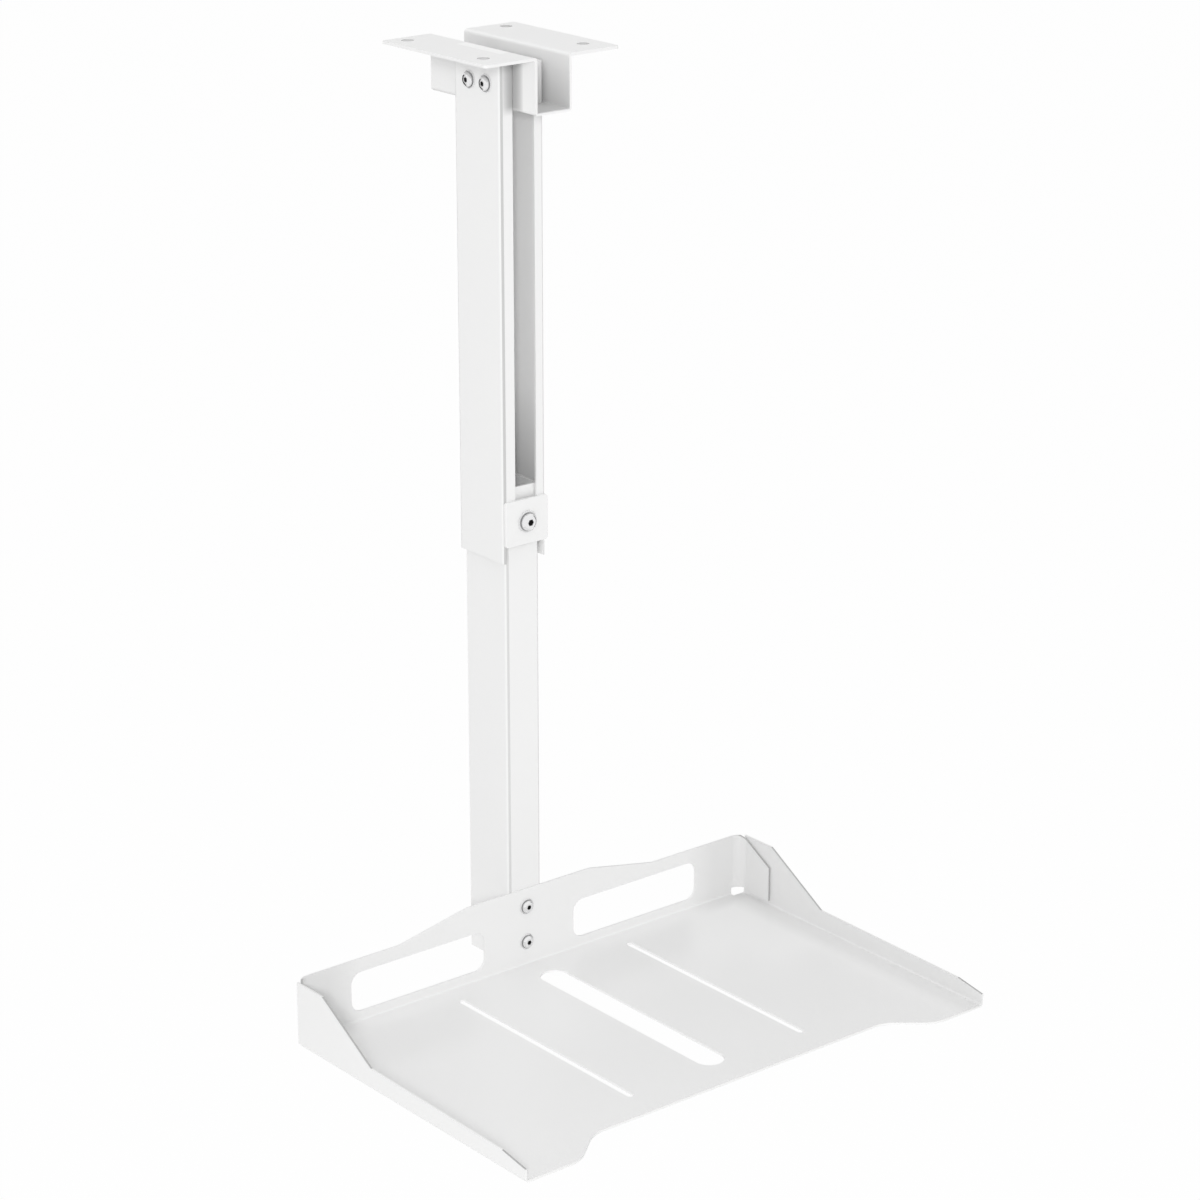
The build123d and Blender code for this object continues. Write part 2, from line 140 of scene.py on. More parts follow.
class CoatSettings(bpy.types.PropertyGroup):
    """Powder coat on the folded sheets."""

    colour: bpy.props.FloatVectorProperty(
        name="Coat colour", description="Colour of the cured powder coat", subtype="COLOR", size=3,
        min=0.0, max=1.0, default=(0.88, 0.88, 0.878))
    shade: bpy.props.FloatProperty(
        name="Tone drift", description="How far the coat's tone drifts across a sheet", subtype="FACTOR",
        min=0.0, max=0.2, default=0.02)
    peel_size: bpy.props.FloatProperty(
        name="Peel size", description="Width of one dimple of the coat's orange peel", unit="LENGTH",
        min=0.0002, max=0.01, default=0.0011)
    peel_depth: bpy.props.FloatProperty(
        name="Peel depth", description="Depth of the orange peel", unit="LENGTH",
        min=0.0, max=0.001, default=0.00003)
    roughness: bpy.props.FloatProperty(
        name="Coat roughness", description="Roughness of the satin coat", subtype="FACTOR",
        min=0.0, max=1.0, default=0.33)
    edge_radius: bpy.props.FloatProperty(
        name="Edge radius", description="Rounding that the coat leaves on a cut edge", unit="LENGTH",
        min=0.0, max=0.001, default=0.0003)
    # Tone of all the painted shade on the coat, as a share of its full tone
    shade_tone: bpy.props.FloatProperty(
        name="Thin tone", description="Tone of the coat where it is thin, as a share of its full tone",
        subtype="FACTOR", min=0.0, max=1.0, default=0.5)
    # Painted shade in the seam of pole and bracket, and in the bracket's channel
    seam_shade_reach: bpy.props.FloatProperty(
        name="Seam reach", description="How far the coat is thin beside the seam of pole and bracket",
        unit="LENGTH", min=0.0, max=0.05, default=0.0095)
    seam_shade_share: bpy.props.FloatProperty(
        name="Seam share", description="How thin the coat is in that seam", subtype="FACTOR",
        min=0.0, max=1.0, default=0.95)
    channel_shade_share: bpy.props.FloatProperty(
        name="Channel share", description="How thin the coat is at the bottom of the bracket's channel",
        subtype="FACTOR", min=0.0, max=1.0, default=0.56)
    # Painted shade in the tray's inner corners
    corner_shade_share: bpy.props.FloatProperty(
        name="Corner share", description="How thin the coat is in the tray's inner corners", subtype="FACTOR",
        min=0.0, max=1.0, default=0.2)
    side_shade_reach: bpy.props.FloatProperty(
        name="Side reach", description="How far the coat is thin beside the tray's right wall",
        unit="LENGTH", min=0.001, max=0.1, default=0.025)
    rear_shade_reach: bpy.props.FloatProperty(
        name="Rear reach", description="How far the coat is thin along the ends of the tray's back wall",
        unit="LENGTH", min=0.001, max=0.1, default=0.055)
    rear_shade_depth: bpy.props.FloatProperty(
        name="Rear depth", description="How far the coat is thin in front of those ends",
        unit="LENGTH", min=0.001, max=0.1, default=0.02)
    # Painted light up the outer pole's bore, and painted shade above the inner pole's top
    bore_painted_tone: bpy.props.FloatProperty(
        name="Bore tone", description="Tone of the clean coat in the outer pole, as a share of the full tone",
        min=0.5, max=1.1, default=1.08)
    bore_foot_shade: bpy.props.FloatProperty(
        name="Rubbed tone", description="Tone above the inner pole, where it rubs the bore", subtype="FACTOR",
        min=0.0, max=1.0, default=0.8)
    bore_foot_shade_length: bpy.props.FloatProperty(
        name="Rubbed length", description="Length over which the rubbed bore turns clean", unit="LENGTH",
        min=0.001, max=0.3, default=0.065)
    # Painted dark reflection on the poles' left front bends, for each pole
    outer_bend_reflection: bpy.props.FloatProperty(
        name="Outer bend", description="How thin the coat is on the outer pole's left front bend",
        subtype="FACTOR", min=0.0, max=1.0, default=0.75)
    inner_bend_reflection: bpy.props.FloatProperty(
        name="Inner bend", description="How thin the coat is on the inner pole's left front bend",
        subtype="FACTOR", min=0.0, max=1.0, default=0.5)


class PlateSettings(bpy.types.PropertyGroup):
    """Bright zinc plating on the fasteners."""

    colour: bpy.props.FloatVectorProperty(
        name="Plate colour", description="Colour of the bright zinc plate", subtype="COLOR", size=3,
        min=0.0, max=1.0, default=(0.86, 0.86, 0.865))
    # Painted shade in the sockets
    socket_shade_colour: bpy.props.FloatVectorProperty(
        name="Socket colour", description="Colour of the broached socket, where the plate is thin",
        subtype="COLOR", size=3, min=0.0, max=1.0, default=(0.04, 0.04, 0.042))
    roughness: bpy.props.FloatProperty(
        name="Plate roughness", description="Roughness of the plate", subtype="FACTOR",
        min=0.0, max=1.0, default=0.18)
    grain_size: bpy.props.FloatProperty(
        name="Grain size", description="Width of the plate's mottled grain", unit="LENGTH",
        min=0.0001, max=0.01, default=0.0009)
    groove_pitch: bpy.props.FloatProperty(
        name="Groove pitch", description="Distance between the turning marks on a head", unit="LENGTH",
        min=0.00005, max=0.002, default=0.00035)


class FastenerSettings(bpy.types.PropertyGroup):
    """Proportions of the screws and nuts that their solids leave plain."""

    thread_depth: bpy.props.FloatProperty(
        name="Thread depth", description="Depth of a thread, as a share of its diameter", subtype="FACTOR",
        min=0.0, max=0.2, default=0.075)
    thread_pitch: bpy.props.FloatProperty(
        name="Thread pitch", description="Pitch of a thread, as a share of its diameter", subtype="FACTOR",
        min=0.05, max=0.3, default=0.165)
    rim: bpy.props.FloatProperty(
        name="Rim", description="Thickness of a head's flange, as a share of its height", subtype="FACTOR",
        min=0.1, max=0.5, default=0.25)
    dome: bpy.props.FloatProperty(
        name="Dome", description="Width of a head's dome, as a share of the flange", subtype="FACTOR",
        min=0.5, max=1.0, default=0.8)
    crown: bpy.props.FloatProperty(
        name="Crown", description="Width of the flat crown round the socket, as a share of the flange",
        subtype="FACTOR", min=0.2, max=0.7, default=0.45)
    socket: bpy.props.FloatProperty(
        name="Socket", description="Depth of the hexagon socket, as a share of a head's height",
        subtype="FACTOR", min=0.2, max=0.9, default=0.65)
    corner: bpy.props.FloatProperty(
        name="Corner", description="Rounding on turned corners", unit="LENGTH",
        min=0.0, max=0.001, default=0.00022)
    bracket_thread: bpy.props.FloatProperty(
        name="Bracket thread", description="Thread of the bracket bolts", unit="LENGTH",
        min=0.002, max=0.012, default=0.006)
    bracket_key: bpy.props.FloatProperty(
        name="Bracket key", description="Key across flats for the bracket bolts", unit="LENGTH",
        min=0.001, max=0.01, default=0.003)
    clamp_thread: bpy.props.FloatProperty(
        name="Clamp thread", description="Thread of the clamp screw", unit="LENGTH",
        min=0.002, max=0.012, default=0.008)
    clamp_key: bpy.props.FloatProperty(
        name="Clamp key", description="Key across flats for the clamp screw", unit="LENGTH",
        min=0.001, max=0.01, default=0.004)
    tray_thread: bpy.props.FloatProperty(
        name="Tray thread", description="Thread of the tray screws", unit="LENGTH",
        min=0.002, max=0.012, default=0.005)
    tray_key: bpy.props.FloatProperty(
        name="Tray key", description="Key across flats for the tray screws", unit="LENGTH",
        min=0.001, max=0.01, default=0.003)
    hole_clearance: bpy.props.FloatProperty(
        name="Hole clearance", description="Added to a thread for a plain hole", unit="LENGTH",
        min=0.0, max=0.002, default=0.0006)
    thread_clearance: bpy.props.FloatProperty(
        name="Thread clearance", description="Added to a thread for its nut", unit="LENGTH",
        min=0.0, max=0.001, default=0.0002)


class StudioSettings(bpy.types.PropertyGroup):
    """Camera, floor and light."""

    eye: bpy.props.FloatVectorProperty(
        name="Eye", description="Where the camera stands", subtype="TRANSLATION", unit="LENGTH", size=3,
        default=(-1.431563, -1.865549, 0.433541))
    azimuth: bpy.props.FloatProperty(
        name="Azimuth", description="Camera's bearing about the mount", subtype="ANGLE",
        default=math.radians(-39.17783))
    elevation: bpy.props.FloatProperty(
        name="Elevation", description="How far the camera looks down", subtype="ANGLE",
        default=math.radians(19.26039))
    lens: bpy.props.FloatProperty(
        name="Lens", description="Focal length on a sensor 36 mm wide", subtype="DISTANCE_CAMERA",
        min=20.0, max=300.0, default=108.0408)
    floor_drop: bpy.props.FloatProperty(
        name="Floor drop", description="Room floor below the tray", unit="LENGTH",
        min=0.0, max=4.0, default=1.0)
    ambient: bpy.props.FloatProperty(
        name="Ambient", description="Strength of the white room light", min=0.0, max=2.0, default=0.76)
    lean: bpy.props.FloatProperty(
        name="Lean", description="How far the room light is stronger from the left rear", subtype="FACTOR",
        min=0.0, max=0.5, default=0.08)
    key: bpy.props.FloatProperty(
        name="Key", description="Power of the soft light behind the camera", subtype="POWER",
        min=0.0, max=500.0, default=111.0)
    key_size: bpy.props.FloatProperty(
        name="Key size", description="Width of that light", unit="LENGTH", min=0.1, max=8.0, default=0.9)
    key_place: bpy.props.FloatVectorProperty(
        name="Key place", description="Where that light stands", subtype="TRANSLATION", unit="LENGTH", size=3,
        default=(-3.64, -4.46, 1.65))
    overhead: bpy.props.FloatProperty(
        name="Overhead", description="Power of the wide light above the mount", subtype="POWER",
        min=0.0, max=500.0, default=9.0)
    overhead_size: bpy.props.FloatProperty(
        name="Overhead size", description="Width of that light", unit="LENGTH", min=0.1, max=8.0, default=2.0)
    overhead_rise: bpy.props.FloatProperty(
        name="Overhead rise", description="Height of that light over the ceiling plane", unit="LENGTH",
        min=0.5, max=8.0, default=3.0)


class MountSettings(bpy.types.PropertyGroup):
    """All settings of the ceiling mount."""

    coat: bpy.props.PointerProperty(type=CoatSettings, name="Coat", description="Powder coat")
    plate: bpy.props.PointerProperty(type=PlateSettings, name="Plate", description="Bright plating")
    fasteners: bpy.props.PointerProperty(
        type=FastenerSettings, name="Fasteners", description="Screws and nuts")
    studio: bpy.props.PointerProperty(type=StudioSettings, name="Studio", description="Camera and light")


class Value:
    """A shader socket in Python sums: each operator adds its Math node."""

    def __init__(self, graph, socket):
        self.graph = graph
        self.socket = socket

    def _sum(self, operation, first, second):
        return self.graph.add("ShaderNodeMath", {"operation": operation}, {0: first, 1: second})

    def __add__(self, other):
        return self._sum("ADD", self, other)

    def __radd__(self, other):
        return self._sum("ADD", other, self)

    def __sub__(self, other):
        return self._sum("SUBTRACT", self, other)

    def __rsub__(self, other):
        return self._sum("SUBTRACT", other, self)

    def __mul__(self, other):
        return self._sum("MULTIPLY", self, other)

    def __rmul__(self, other):
        return self._sum("MULTIPLY", other, self)

    def __truediv__(self, other):
        return self._sum("DIVIDE", self, other)

    def sine(self):
        return self.graph.add("ShaderNodeMath", {"operation": "SINE"}, {0: self})

    def size(self):
        return self.graph.add("ShaderNodeMath", {"operation": "ABSOLUTE"}, {0: self})

    def held(self):
        """The value held between zero and one."""
        return self.graph.add("ShaderNodeMath", {"operation": "ADD", "use_clamp": True}, {0: self, 1: 0.0})

    def above(self, limit):
        return self._sum("GREATER_THAN", self, limit)

    def below(self, limit):
        return self._sum("LESS_THAN", self, limit)

    def largest(self, other):
        return self._sum("MAXIMUM", self, other)


class Graph:
    """A node tree that is filled by expressions."""

    def __init__(self, tree):
        self.tree = tree
        self.tree.nodes.clear()

    def add(self, kind, settings=None, sockets=None, output=0):
        node = self.tree.nodes.new(kind)
        for name, value in (settings or {}).items():
            setattr(node, name, value)
        for name, value in (sockets or {}).items():
            self.plug(node.inputs[name], value)
        return Value(self, node.outputs[output]) if node.outputs else None

    def plug(self, socket, value):
        if isinstance(value, Value):
            self.tree.links.new(value.socket, socket)
        else:
            socket.default_value = value

    def parts(self, vector):
        """The three numbers of a vector."""
        node = self.tree.nodes.new("ShaderNodeSeparateXYZ")
        self.plug(node.inputs[0], vector)
        return [Value(self, socket) for socket in node.outputs]

    def mix(self, share, first, second):
        """Colour between two colours."""
        node = self.tree.nodes.new("ShaderNodeMix")
        node.data_type = "RGBA"
        factor, low, high = node.inputs[0], node.inputs[6], node.inputs[7]
        self.plug(factor, share)
        self.plug(low, first)
        self.plug(high, second)
        return Value(self, node.outputs[2])


def new_material(name):
    material = bpy.data.materials.new(name)
    material.use_nodes = True
    return material, Graph(material.node_tree)


def rgba(colour, level=1.0):
    return (*[level * c for c in colour], 1.0)


def fading(gap, reach):
    """One up to half the reach, and from there down to zero at the reach."""
    return (2.0 - gap / (reach / 2)).held()


def seam_and_channel_shade(graph, where, coat):
    """Painted shade: darker in the seam of pole and bracket, and down in the bracket's channel."""
    wall_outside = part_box("bracket_sleeve_front")[1].x
    wall_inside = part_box("bracket_washer_front")[0].x
    sheet = wall_inside - wall_outside
    seam = Vector((wall_outside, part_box("outer_pole")[0].y - sheet, 0.0))
    channel_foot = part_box("ceiling_bracket")[0].z
    x, y, z = graph.parts(where)
    plan = graph.add("ShaderNodeCombineXYZ", {}, {"X": x, "Y": y})
    gap = graph.add("ShaderNodeVectorMath", {"operation": "DISTANCE"}, {0: plan, 1: seam}, "Value")
    share = gap / coat.seam_shade_reach
    beside_wall = ((z - channel_foot) / (SEAM_FADE * sheet) + 0.5).held()
    near_seam = (1.0 - share * share).held() * beside_wall * z.below(-INNER_FACE * sheet)
    depth = (z / (channel_foot + sheet)).held()
    between_walls = x.size().below((1.0 - INNER_FACE) * sheet - wall_inside)
    inside = between_walls * z.above(channel_foot + INNER_FACE * sheet)
    in_channel = coat.channel_shade_share * (CHANNEL_TOP + (1.0 - CHANNEL_TOP) * depth) * inside
    return (coat.seam_shade_share * near_seam).largest(in_channel)


def tray_corner_shade(graph, where, coat):
    """Painted shade in the tray: darker inside, along its right wall and at the ends of its back wall."""
    low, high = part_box("tray")
    middle = (low + high) / 2
    inner_face = INNER_FACE * TRAY_SHEET
    x, y, z = graph.parts(where)
    from_side = high.x - middle.x - (x - middle.x).size()
    from_back = high.y - y
    beside_wall = fading(high.x - x, coat.side_shade_reach)
    along_back = fading(from_side, coat.rear_shade_reach)
    at_back = fading(from_back, coat.rear_shade_depth)
    in_plan = from_side.above(inner_face) * from_back.above(inner_face)
    inside = in_plan * z.above(low.z + inner_face) * z.below(high.z)
    return coat.corner_shade_share * beside_wall.largest(along_back * at_back) * inside


def bore(graph, where, coat):
    """A mask of the outer pole's bore over the inner pole, and the tone in it: painted light up the bore,
    lighter than the coat, and painted shade towards the inner pole's top.
    """
    low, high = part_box("outer_pole")
    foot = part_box("inner_pole")[1].z
    x, y, z = graph.parts(where)
    across = x.above(low.x + TRAY_SHEET) * x.below(high.x - TRAY_SHEET)
    along = y.above(low.y + TRAY_SHEET) * y.below(high.y - TRAY_SHEET)
    unshaded = ((z - foot) / coat.bore_foot_shade_length).held()
    tone = graph.mix(unshaded, rgba(coat.colour, coat.bore_foot_shade), rgba(coat.colour, coat.bore_painted_tone))
    return across * along * z.above(foot), tone


def powder_coat(coat):
    """White satin powder coat: fine orange peel, a slight drift of tone, painted shade in seams, the channel
    and the tray's corners, painted shade and dark reflections on marked faces, and painted light and shade in
    the outer pole's bore.
    """
    material, graph = new_material("white_powder_coat")
    where = graph.add("ShaderNodeTexCoord", output="Object")
    # Faces marked for painted shade and painted dark reflections
    cut = graph.add("ShaderNodeAttribute", {"attribute_name": "painted_dark"}, output="Fac")
    drift = graph.add("ShaderNodeTexNoise", {}, {"Vector": where, "Scale": DRIFT_SCALE, "Detail": 3.0})
    peel = graph.add("ShaderNodeTexNoise", {}, {
        "Vector": where, "Scale": 1.0 / coat.peel_size, "Detail": 2.0, "Roughness": 0.45})
    specks = graph.add("ShaderNodeTexNoise", {}, {
        "Vector": where, "Scale": SPECKS_A_DIMPLE / coat.peel_size, "Detail": 1.0})
    full = graph.mix(drift, rgba(coat.colour, 1.0 - coat.shade), rgba(coat.colour))
    # Painted shade from the seam, the channel, the tray's corners and the marked faces
    shaded = seam_and_channel_shade(graph, where, coat).largest(tray_corner_shade(graph, where, coat)).largest(cut)
    in_bore, bore_painted_tone = bore(graph, where, coat)
    # The painted shade, then the bore's painted light and shade, over the coat's own tone
    tone = graph.mix(in_bore, graph.mix(shaded, full, rgba(coat.colour, coat.shade_tone)), bore_painted_tone)
    rough = coat.roughness - DRIFT_ROUGH + SPECK_ROUGH * specks + DRIFT_ROUGH * drift
    relief = graph.add("ShaderNodeBump", {}, {
        "Strength": 0.35, "Distance": coat.peel_depth, "Height": peel + SPECK_RISE * specks})
    surface = graph.add("ShaderNodeBsdfPrincipled", {}, {
        "Base Color": tone, "Roughness": rough, "Normal": relief})
    graph.add("ShaderNodeOutputMaterial", {}, {"Surface": surface})
    return material


def bright_plate(plate):
    """Bright zinc plate: mottled grain, turning marks round each axis, and painted shade in the sockets and
    round the foot of each dome.
    """
    material, graph = new_material("bright_zinc_plate")
    where = graph.add("ShaderNodeTexCoord", output="Object")
    radius = graph.add("ShaderNodeAttribute", {"attribute_name": "turned_radius"}, output="Fac")
    recess_shade = graph.add("ShaderNodeAttribute", {"attribute_name": "recess_shade"}, output="Fac")
    grain = graph.add("ShaderNodeTexNoise", {}, {
        "Vector": where, "Scale": 1.0 / plate.grain_size, "Detail": 4.0})
    marks = (radius * (2.0 * math.pi / plate.groove_pitch)).sine()
    mottled = graph.mix(grain, *[rgba(plate.colour, level) for level in GRAIN_TONES])
    tone = graph.mix(recess_shade, mottled, rgba(plate.socket_shade_colour))
    rough = plate.roughness - GRAIN_ROUGH / 2 + GRAIN_ROUGH * grain + SOCKET_ROUGH * recess_shade
    relief = graph.add("ShaderNodeBump", {}, {
        "Strength": 0.25, "Distance": 0.00001, "Height": MARK_RISE * marks + grain})
    surface = graph.add("ShaderNodeBsdfPrincipled", {}, {
        "Base Color": tone, "Metallic": 1.0 - SOCKET_DULL * recess_shade, "Roughness": rough, "Normal": relief})
    graph.add("ShaderNodeOutputMaterial", {}, {"Surface": surface})
    return material


def finish_named(name, maker, settings):
    """The finish with that name, made on its first use."""
    return bpy.data.materials.get(name) or maker(settings)


def coat_finish(context):
    return finish_named("white_powder_coat", powder_coat, context.scene.ceiling_mount.coat)


def plate_finish(context):
    return finish_named("bright_zinc_plate", bright_plate, context.scene.ceiling_mount.plate)


def link(name, mesh):
    piece = bpy.data.objects.new(name, mesh)
    bpy.context.scene.collection.objects.link(piece)
    return piece


def settled(piece):
    """The piece's evaluated shape as a plain mesh."""
    depsgraph = bpy.context.evaluated_depsgraph_get()
    return bpy.data.meshes.new_from_object(piece.evaluated_get(depsgraph))


def sloping_cut_shade(face, low, high):
    """Painted shade on a face of the tray: darker on side walls' sloping cuts and tabs' front edges."""
    normal = face.normal
    where = face.calc_center_median()
    at_side = min(where.x - low.x, high.x - where.x) < SIDE_MARGIN
    slopes = abs(normal.x) < NO_LEAN and normal.y < -NO_LEAN and SLOPE_RISE < normal.z < SQUARE_ON
    faces_front = normal.y < -SQUARE_ON and where.y > (low.y + high.y) / 2
    return 1.0 if at_side and (slopes or faces_front) else 0.0


def hole_wall_shade(face, low, high):
    """Painted shade on a face of the bracket: darker on the walls of the ceiling holes."""
    normal = face.normal
    where = face.calc_center_median()
    from_side = min(where.x - low.x, high.x - where.x)
    from_end = min(where.y - low.y, high.y - where.y)
    flange_end = FLANGE_SHARE * (high.x - low.x) / 2
    in_flange = HOLE_MARGIN < from_side < flange_end and from_end > HOLE_MARGIN and where.z > -HOLE_MARGIN
    return HOLE_SHADE if in_flange and abs(normal.z) < HOLE_LEAN else 0.0


def front_bend_dark_reflection(share):
    """A rule for a pole: a painted dark reflection, by the share, on the front half of its left front bend.
    """
    def on_bend(face, low, high):
        least, most = BEND_LEFT
        return share if least < -face.normal.x < most and -face.normal.y > BEND_FRONT else 0.0
    return on_bend


def coated_sheet(context, node, body, painted_dark=None):
    """A copy of a sheet's solid with rounded cut edges, smooth bends, and its faces of painted shade and
    painted dark reflection marked.
    """
    coat = context.scene.ceiling_mount.coat
    shell = bmesh.new()
    shell.from_mesh(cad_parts[node].data)
    bmesh.ops.remove_doubles(shell, verts=shell.verts, dist=MERGE_GAP)
    bmesh.ops.dissolve_limit(shell, angle_limit=FLAT_ANGLE, verts=shell.verts, edges=shell.edges)
    marked = shell.faces.layers.float.new("painted_dark")
    low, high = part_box(node)
    for face in shell.faces:
        face.smooth = True
        face[marked] = painted_dark(face, low, high) if painted_dark else 0.0
    mesh = bpy.data.meshes.new(f"{node}_draft")
    shell.to_mesh(mesh)
    shell.free()
    draft = link(f"{node}_draft", mesh)
    edge = draft.modifiers.new("edge", "BEVEL")
    edge.width = coat.edge_radius
    edge.segments = 2
    edge.limit_method = "ANGLE"
    edge.angle_limit = CUT_ANGLE
    flat = draft.modifiers.new("flat", "WEIGHTED_NORMAL")
    flat.mode = "FACE_AREA"
    flat.weight = 100
    piece = link(f"{node}_sheet", settled(draft))
    bpy.data.objects.remove(draft)
    piece.data.materials.clear()
    piece.data.materials.append(coat_finish(context))
    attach(piece, body)
    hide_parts(node)


def circle(radius, level):
    return [(radius * math.cos(2 * math.pi * i / RING), radius * math.sin(2 * math.pi * i / RING), level)
            for i in range(RING)]


def hexagon(flats, level, limit=None):
    """Points round a hexagon, held inside a circle where a limit is given."""
    points = []
    for i in range(RING):
        turn = 2 * math.pi * i / RING
        off_flat = (turn % (math.pi / 3)) - math.pi / 6
        reach = flats / 2 / math.cos(off_flat)
        if limit is not None:
            reach = min(reach, limit)
        points.append((reach * math.cos(turn), reach * math.sin(turn), level))
    return points


def turned_mesh(name, rings, recess_shades=None, looped=False):
    """Skin over rings of points. The first and last ring are capped, or joined to each other.

    The recesses give, by a ring's number, how much painted shade the plate has there.
    """
    solid = bmesh.new()
    radius = solid.verts.layers.float.new("turned_radius")
    recess_shade = solid.verts.layers.float.new("recess_shade")
    loops = []
    for number, ring in enumerate(rings):
        loop = [solid.verts.new(point) for point in ring]
        for vert in loop:
            vert[radius] = math.hypot(vert.co.x, vert.co.y)
            vert[recess_shade] = (recess_shades or {}).get(number, 0.0)
        loops.append(loop)
    pairs = list(zip(loops, loops[1:]))
    if looped:
        pairs.append((loops[-1], loops[0]))
    for low, high in pairs:
        for i in range(RING):
            j = (i + 1) % RING
            solid.faces.new((low[i], low[j], high[j], high[i]))
    if not looped:
        solid.faces.new(list(reversed(loops[0])))
        solid.faces.new(loops[-1])
    bmesh.ops.recalc_face_normals(solid, faces=solid.faces)
    for face in solid.faces:
        face.smooth = len(face.verts) == 4
    mesh = bpy.data.meshes.new(name)
    solid.to_mesh(mesh)
    solid.free()
    mesh.set_sharp_from_angle(angle=SHARP_ANGLE)
    return mesh


def thread_rings(fasteners, diameter, low, high):
    """Rings down a threaded length, from its upper to its lower end."""
    pitch = fasteners.thread_pitch * diameter
    crest = diameter / 2
    root = crest - fasteners.thread_depth * diameter
    turns = max(1, int((high - low) / pitch))
    step = (high - low) / turns
    rings = []
    for turn in range(turns):
        level = high - turn * step
        rings.append(circle(crest, level - THREAD_CREST * step))
        rings.append(circle(root, level - step / 2))
        rings.append(circle(crest, level - (1.0 - THREAD_CREST) * step))
    return rings


def screw_mesh(fasteners, head, height, thread, shank, key):
    """Flanged button-head screw along +Z with its seat at zero: thread, flange, dome and hexagon socket."""
    soft = fasteners.corner
    rim = fasteners.rim * height
    dome = fasteners.dome * head / 2
    crown = fasteners.crown * head / 2
    rings = [circle(SCREW_POINT * thread, -shank)]
    rings += reversed(thread_rings(fasteners, thread, SCREW_LEAD * thread - shank, -SCREW_RUNOUT * thread))
    rings += [circle(thread / 2, 0.0), circle(head / 2 - soft, 0.0), circle(head / 2, soft)]
    rings += [circle(head / 2, rim - soft), circle(head / 2 - soft, rim), circle(dome + soft, rim)]
    dome_foot = len(rings)
    # Painted shade round the dome's foot
    recess_shades = {dome_foot + step: shade for step, shade in DOME_SHADE.items()}
    for i in range(DOME_STEPS + 1):
        turn = 0.5 * math.pi * i / DOME_STEPS
        rings.append(circle(crown + (dome - crown) * math.cos(turn), rim + (height - rim) * math.sin(turn)))
    rings.append(hexagon(key * SOCKET_MOUTH, height))
    # Painted shade in the socket
    recess_shades.update({len(rings): 1.0, len(rings) + 1: 1.0})
    rings.append(hexagon(key, height - SOCKET_LEAD * key))
    rings.append(hexagon(key, height * (1.0 - fasteners.socket)))
    return turned_mesh("screw_pattern", rings, recess_shades)


def nut_mesh(fasteners, flats, bore, height):
    """Hexagon nut along +Z with its corners turned off on both faces, and a threaded bore."""
    corner = flats / math.sqrt(3.0)
    face = NUT_FACE * flats
    bevel = (corner - face) * math.tan(NUT_ANGLE)
    outer = [hexagon(flats, share * bevel, face + share * (corner - face)) for share in NUT_STEPS]
    for share in reversed(NUT_STEPS):
        outer.append(hexagon(flats, height - share * bevel, face + share * (corner - face)))
    lead = NUT_LEAD * bore
    inner = [circle(bore / 2 + lead, height)]
    inner += thread_rings(fasteners, bore, lead, height - lead)
    inner.append(circle(bore / 2 + lead, 0.0))
    return turned_mesh("nut_pattern", outer + inner, looped=True)


def ring_mesh(fasteners, diameter, bore, height):
    """Washer or sleeve along +Z with broken edges."""
    soft = fasteners.corner
    outer = diameter / 2
    inner = bore / 2
    rings = [circle(outer - soft, 0.0), circle(outer, soft), circle(outer, height - soft),
             circle(outer - soft, height), circle(inner + soft, height), circle(inner, height - soft),
             circle(inner, soft), circle(inner + soft, 0.0)]
    return turned_mesh("ring_pattern", rings, looped=True)


def row_tree():
    """Geometry Nodes tree that sets one fastener along a row and turns it to its seat."""
    tree = bpy.data.node_groups.get("fastener_row")
    if tree:
        return tree
    tree = bpy.data.node_groups.new("fastener_row", "GeometryNodeTree")
    inputs = {"Fastener": "NodeSocketObject", "Count": "NodeSocketInt", "Start": "NodeSocketVector",
              "Pitch": "NodeSocketVector", "Turn": "NodeSocketVector", "Finish": "NodeSocketMaterial"}
    for name, kind in inputs.items():
        tree.interface.new_socket(name=name, in_out="INPUT", socket_type=kind)
    tree.interface.new_socket(name="Geometry", in_out="OUTPUT", socket_type="NodeSocketGeometry")
    graph = Graph(tree)
    wants = tree.nodes.new("NodeGroupInput")
    given = {socket.name: Value(graph, socket) for socket in wants.outputs if socket.name}
    line = graph.add("GeometryNodeMeshLine", {"mode": "OFFSET"}, {
        "Count": given["Count"], "Start Location": given["Start"], "Offset": given["Pitch"]})
    pattern = graph.add("GeometryNodeObjectInfo", {"transform_space": "ORIGINAL"}, {
        "Object": given["Fastener"]}, "Geometry")
    placed = graph.add("GeometryNodeInstanceOnPoints", {}, {
        "Points": line, "Instance": pattern, "Rotation": given["Turn"]})
    real = graph.add("GeometryNodeRealizeInstances", {}, {"Geometry": placed})
    done = graph.add("GeometryNodeSetMaterial", {}, {"Geometry": real, "Material": given["Finish"]})
    out = tree.nodes.new("NodeGroupOutput")
    graph.plug(out.inputs["Geometry"], done)
    return tree


def set_row(context, name, mesh, body, nodes, start, pitch, turn):
    """One piece per body: the fastener repeated along its row, in place of its solids."""
    pattern = link("fastener_pattern", mesh)
    carrier = link(f"{name}_row", bpy.data.meshes.new(f"{name}_row"))
    row = carrier.modifiers.new("row", "NODES")
    row.node_group = row_tree()
    wanted = {"Fastener": pattern, "Count": len(nodes), "Start": start, "Pitch": pitch, "Turn": turn,
              "Finish": plate_finish(context)}
    for item in row.node_group.interface.items_tree:
        if item.in_out == "INPUT":
            row[item.identifier] = wanted[item.name]
    context.view_layer.update()
    piece = link(name, settled(carrier))
    carrier.modifiers.remove(row)
    bpy.data.objects.remove(carrier)
    bpy.data.objects.remove(pattern)
    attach(piece, body)
    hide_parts(*nodes)


